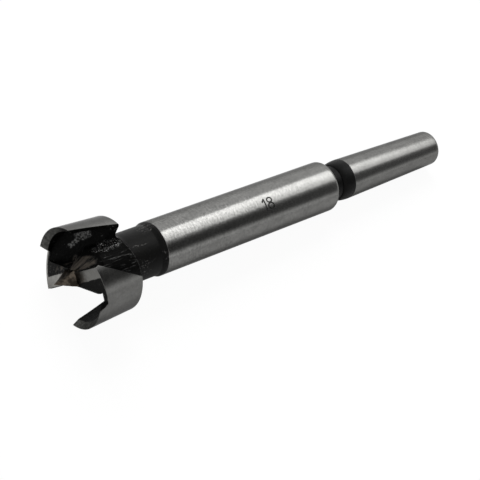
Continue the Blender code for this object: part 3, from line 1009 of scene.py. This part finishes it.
def flat_one(sizes):
    """Outline of the digit 1 with its flag, centred on its height."""
    top, stroke = sizes.height / 2, sizes.stroke
    flag_tip = ONE_STEM - stroke * 1.6
    flag_top = sizes.height * 0.28
    outline = [
        (ONE_STEM, -top), (ONE_STEM + stroke, -top), (ONE_STEM + stroke, top), (ONE_STEM + stroke * 0.2, top),
        (flag_tip, flag_top), (flag_tip, flag_top - stroke * 1.1), (ONE_STEM, top - stroke * 1.9),
    ]
    digit = bmesh.new()
    digit.faces.new([digit.verts.new((x, y, 0.0)) for x, y in outline])
    return digit


def flat_ring(middle, radii, stroke, sides=40):
    """One ring of the digit 8."""
    digit = bmesh.new()
    outer, inner = (
        [digit.verts.new((x, y, 0.0)) for x, y in arc_points(middle, radii_there, 0, 360, sides)[:-1]]
        for radii_there in (radii, (radii[0] - stroke, radii[1] - stroke))
    )
    for side in range(sides):
        after = (side + 1) % sides
        digit.faces.new((outer[side], outer[after], inner[after], inner[side]))
    return digit


def number_cutters(sizes, body_radius, cuts=10):
    """Solids of the two digits, wrapped round the body and as deep as they are cut."""
    height = sizes.height
    flat = {"digit_one": flat_one(sizes)}
    for name, end, (half_width, half_height) in (
        ("digit_upper_ring", 0.5, UPPER_RING), ("digit_lower_ring", -0.5, LOWER_RING),
    ):
        middle = (EIGHT_MIDDLE, height * (end - math.copysign(half_height, end)))
        flat[name] = flat_ring(middle, (half_width * height, half_height * height), sizes.stroke)
    cutters = []
    for name, digit in flat.items():
        for cut in range(-cuts, cuts + 1):
            bmesh.ops.bisect_plane(
                digit, geom=digit.verts[:] + digit.edges[:] + digit.faces[:], dist=WELD_DISTANCE,
                plane_co=(0, cut * height / (2 * cuts) * 1.01, 0), plane_no=(0, 1, 0),
            )
        raised = bmesh.ops.extrude_face_region(digit, geom=digit.faces[:])
        top = {item for item in raised["geom"] if isinstance(item, bmesh.types.BMVert)}
        for vert in digit.verts:
            radius = body_radius + (CUTTER_RISE if vert in top else -sizes.depth)
            clock = sizes.clock - math.degrees(vert.co.y / body_radius)
            vert.co = place(sizes.along + vert.co.x, polar(radius, clock))
        cutters.append(new_mesh_object(name, digit))
    return cutters


def direction_of(compass, height):
    """Unit vector from a compass angle and a height in degrees."""
    a, e = math.radians(compass), math.radians(height)
    return Vector((math.sin(a) * math.cos(e), math.cos(a) * math.cos(e), math.sin(e)))


class FORSTNER_OT_stage(bpy.types.Operator):
    """Set the floor, the light and the camera"""

    bl_idname = "forstner.stage"
    bl_label = "Stage"

    def execute(self, context):
        settings = context.scene.forstner_studio
        self.add_floor(settings.floor_size)
        self.add_world(context.scene, settings.fill)
        self.add_lamp(context.scene, settings.lamp_radiance)
        self.add_camera(context.scene)
        context.scene.view_settings.view_transform = "Standard"
        return {"FINISHED"}

    @staticmethod
    def seen_directly(board):
        """1 for what the camera sees directly, and 1 for what it sees in metal or through glass."""
        rays = ("Is Camera Ray", "Is Glossy Ray", "Is Transmission Ray")
        camera, glossy, through = (board.node("ShaderNodeLightPath", output=name) for name in rays)
        return camera, glossy.most(through)

    def add_floor(self, side):
        """White floor that keeps the bit's shadow."""
        edit = bmesh.new()
        bmesh.ops.create_grid(edit, x_segments=2, y_segments=2, size=side / 2)
        material = bpy.data.materials.new("white_floor")
        material.use_nodes = True
        nodes = material.node_tree.nodes
        board = Board(material.node_tree)
        camera, mirrored = self.seen_directly(board)
        shader = nodes["Principled BSDF"]
        grey = (FLOOR_GREY, FLOOR_GREY, FLOOR_GREY, 1.0)
        for name, value in (("Base Color", grey), ("Roughness", 0.9), ("Specular IOR Level", 0.1)):
            board.plug(shader.inputs[name], value)
        white = board.node("ShaderNodeEmission", None, {"Color": (1, 1, 1, 1), "Strength": FLOOR_WHITE})
        seen = camera * FLOOR_SEEN + mirrored * FLOOR_MIRRORED
        lit = Wire(board, shader.outputs[0])
        board.plug(
            nodes["Material Output"].inputs["Surface"],
            board.node("ShaderNodeMixShader", None, {0: seen, 1: lit, 2: white}),
        )
        new_mesh_object("white_floor", edit, material)

    def add_world(self, scene, fill):
        """White to the camera, and to metal a white room with a soft box and one dark side."""
        world = bpy.data.worlds.new("white_room")
        scene.world = world
        world.use_nodes = True
        board = Board(world.node_tree)
        camera, mirrored = self.seen_directly(board)
        direction = board.node("ShaderNodeTexCoord", None, None, "Generated")
        along_bit = board.dot(direction, (1.0, 0.0, 0.0))
        box = self.soft_box(board, direction, along_bit)
        card = self.round_patch(board, direction, *DARK_CARD)
        glow = self.round_patch(board, direction, *BRIGHT_WALL)
        darkness = CARD_DARKNESS - along_bit.step(*CARD_FADE_PLACE) * CARD_FADE
        room = (1 + glow * WALL_GLOW) * (1 - card * darkness) * (1 - box.least(1.0)) + box
        total = camera + (1 - camera) * (mirrored * room + (1 - mirrored) * fill)
        background = world.node_tree.nodes["Background"]
        board.plug(background.inputs["Color"], (1, 1, 1, 1))
        board.plug(background.inputs["Strength"], total)

    @staticmethod
    def round_patch(board, direction, middle, angles):
        """0 beyond the first of two angles from a direction, and 1 within the second."""
        outer, inner = (math.cos(math.radians(angle)) for angle in angles)
        return board.dot(direction, tuple(direction_of(*middle))).step(outer, inner)

    @staticmethod
    def soft_box(board, direction, along_bit):
        """Reflection of a wide soft box, brightest at its left end and wider towards the shank."""
        middle = direction_of(*BOX_DIRECTION)
        across = Vector((middle.y, -middle.x, 0.0)).normalized()
        up = across.cross(middle)
        towards = board.dot(direction, tuple(middle))
        x = board.dot(direction, tuple(across)) / towards
        y = board.dot(direction, tuple(up)) / towards
        wider = along_bit.step(*BOX_WIDER_PLACE) * BOX_WIDER
        within_left = x.step(-BOX_HALF_WIDTH - wider, BOX_EDGE - BOX_HALF_WIDTH)
        within_right = 1 - x.step(BOX_HALF_WIDTH - BOX_EDGE, BOX_HALF_WIDTH)
        within_height = 1 - abs(y).step(BOX_HALF_HEIGHT - BOX_EDGE, BOX_HALF_HEIGHT)
        inside = within_left * within_right * within_height * towards.step(0.0, 0.1)
        return inside * (BOX_BRIGHTNESS - x.step(BOX_FALL_START, BOX_HALF_WIDTH) * BOX_FALL)

    @staticmethod
    def add_lamp(scene, radiance):
        """Soft lamp that lights the floor and the black finish, and is not seen in the steel."""
        light = bpy.data.lights.new("soft_lamp", "AREA")
        light.size = LAMP_SIDE
        light.energy = radiance * math.pi * LAMP_SIDE * LAMP_SIDE
        lamp = bpy.data.objects.new("soft_lamp", light)
        towards = direction_of(*LAMP_DIRECTION)
        lamp.location = towards * LAMP_DISTANCE
        lamp.rotation_euler = towards.to_track_quat("Z", "Y").to_euler()
        lamp.visible_glossy = False
        scene.collection.objects.link(lamp)

    @staticmethod
    def add_camera(scene):
        data = bpy.data.cameras.new("camera")
        data.lens = CAMERA_LENS
        data.sensor_width = CAMERA_SENSOR
        data.clip_start = 0.01
        data.clip_end = 10.0
        camera = bpy.data.objects.new("camera", data)
        place_in_bit = Matrix((CAMERA_RIGHT, CAMERA_UP, -CAMERA_VIEW)).transposed().to_4x4()
        place_in_bit.translation = CAMERA_PLACE
        camera.matrix_world = REST @ place_in_bit
        scene.collection.objects.link(camera)
        scene.camera = camera


class FORSTNER_PT_panel(bpy.types.Panel):
    """Panel with the bit's sizes, finishes and steps"""

    bl_label = "Forstner Bit"
    bl_idname = "FORSTNER_PT_panel"
    bl_space_type = "VIEW_3D"
    bl_region_type = "UI"
    bl_category = "Forstner Bit"

    def draw(self, context):
        layout = self.layout
        for operator in OPERATORS:
            layout.operator(operator.bl_idname)
        for group in SETTINGS:
            box = layout.box()
            settings = getattr(context.scene, group)
            for name in settings.bl_rna.properties.keys():
                if name not in ("rna_type", "name"):
                    box.prop(settings, name)


OPERATORS = (FORSTNER_OT_head, FORSTNER_OT_shaft, FORSTNER_OT_stage)
SETTINGS = {
    "forstner_finish": SteelFinish,
    "forstner_shaft": ShaftSizes,
    "forstner_number": NumberSizes,
    "forstner_studio": StudioSettings,
}
CLASSES = (*SETTINGS.values(), *OPERATORS, FORSTNER_PT_panel)


def register():
    for cls in CLASSES:
        bpy.utils.register_class(cls)
    for name, cls in SETTINGS.items():
        setattr(bpy.types.Scene, name, PointerProperty(type=cls))


def unregister():
    for name in SETTINGS:
        delattr(bpy.types.Scene, name)
    for cls in reversed(CLASSES):
        bpy.utils.unregister_class(cls)


def main():
    register()
    bpy.ops.forstner.head()
    bpy.ops.forstner.shaft()
    bpy.ops.forstner.stage()


if __name__ == "__main__":
    main()
